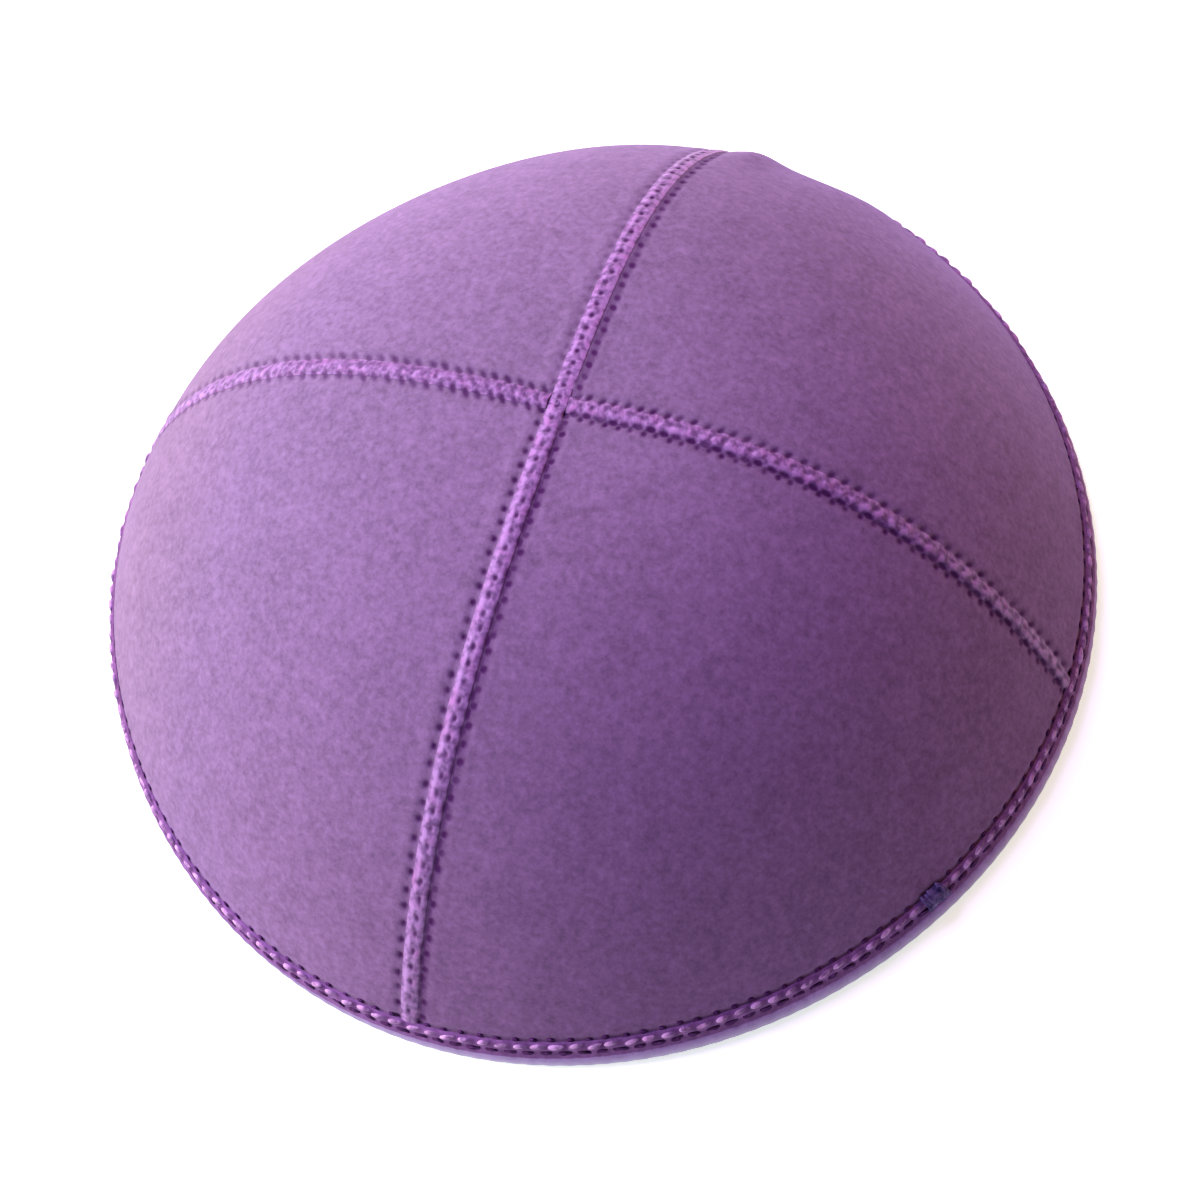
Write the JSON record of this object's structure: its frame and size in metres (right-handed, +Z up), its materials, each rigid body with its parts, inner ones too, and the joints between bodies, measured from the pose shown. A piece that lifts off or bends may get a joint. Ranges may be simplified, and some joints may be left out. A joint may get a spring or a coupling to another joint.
{
  "type": "kippah",
  "caption": "Domed suede skullcap sewn from quarter panels, with raised cover-stitched seams crossing at the top and a bound rim.",
  "frame": {"origin": "on the surface that the cap stands on, at the middle of the rim's box", "axes": "+Z up through the crown, +X towards the right seam, -Y towards the front seam"},
  "size_m": [0.1652, 0.1664, 0.0553],
  "materials": {
    "suede": "purple suede with a short matt nap",
    "seam_thread": "lilac embroidery thread with a soft sheen",
    "binding": "purple suede edge, folded and overstitched with lilac thread"
  },
  "bodies": {
    "root": {"panel_front_left": "suede", "panel_front_right": "suede", "panel_back_right": "suede", "panel_back_left": "suede", "seam_band_front_back": "seam_thread", "seam_band_right": "seam_thread", "seam_band_left": "seam_thread", "rim_binding": "binding"}
  },
  "joints": []
}
